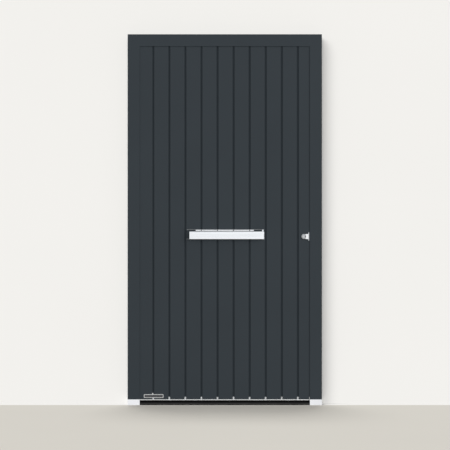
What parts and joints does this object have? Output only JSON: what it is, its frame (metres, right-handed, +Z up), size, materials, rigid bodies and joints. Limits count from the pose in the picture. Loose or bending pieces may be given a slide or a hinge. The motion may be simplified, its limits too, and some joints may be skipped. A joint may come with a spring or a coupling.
{
  "type": "front door",
  "caption": "Aluminium front door with frame, threshold and a vertically grooved leaf that swings indoors, with a horizontal pull handle and a key lock outdoors and a lever indoors.",
  "frame": {"origin": "on the floor, under the middle of the threshold: mid-width and mid-depth of the frame", "axes": "+X from the hinge side to the lock side, +Y from outdoors to indoors, +Z up"},
  "size_m": [1.1, 0.1755, 2.1],
  "materials": {
    "anthracite_paint": "fine matt powder coat",
    "foot_plastic": "off-white, satin",
    "sill_metal": "dark anodised",
    "black_plastic": "matt",
    "seal_rubber": "matt",
    "foam": "foam",
    "drip_aluminium": "clear anodised",
    "steel": "satin",
    "hinge_metal": "satin",
    "brushed_steel": "brushed",
    "lock_metal": "satin chrome"
  },
  "bodies": {
    "frame": {"hinge_jamb": "anthracite_paint", "lock_jamb": "anthracite_paint", "head": "anthracite_paint", "hinge_foot": "foot_plastic", "lock_foot": "foot_plastic", "outdoor_sill": "sill_metal", "threshold_thermal_break": "black_plastic", "indoor_sill": "sill_metal", "hinge_side_seal": "seal_rubber", "lock_side_seal": "seal_rubber", "head_seal": "seal_rubber", "latch_strike": "steel", "lower_strike": "steel", "upper_strike": "steel", "lower_hinge_frame_wing": "hinge_metal", "middle_hinge_frame_wing": "hinge_metal", "upper_hinge_frame_wing": "hinge_metal"},
    "leaf": {"grooved_panel": "anthracite_paint", "hinge_stile": "anthracite_paint", "lock_stile": "anthracite_paint", "top_rail": "anthracite_paint", "bottom_rail": "anthracite_paint", "insulation_core": "foam", "indoor_panel": "anthracite_paint", "drip_rail": "drip_aluminium", "bottom_seal": "seal_rubber", "lock_face_plate": "steel", "latch_bolt": "steel", "dead_bolt": "steel", "hook_bolts": "steel", "lower_hinge_leaf_wing": "hinge_metal", "middle_hinge_leaf_wing": "hinge_metal", "upper_hinge_leaf_wing": "hinge_metal", "handle_back_plate": "anthracite_paint", "handle_front_plate": "brushed_steel", "handle_top_web": "brushed_steel", "handle_top_trim": "drip_aluminium", "handle_end_cap": "brushed_steel", "lock_rosette": "lock_metal", "lock_plug": "lock_metal", "lock_pull": "lock_metal", "lever_rosette": "brushed_steel", "lever": "brushed_steel", "cylinder_rosette": "brushed_steel", "indoor_cylinder": "lock_metal"}
  },
  "joints": [
    {"name": "leaf_swing", "type": "hinge", "parent": "frame", "child": "leaf", "pos_m": [-0.4975, 0.052, 0], "axis": [0, 0, 1], "range_deg": [0, 105]}
  ]
}
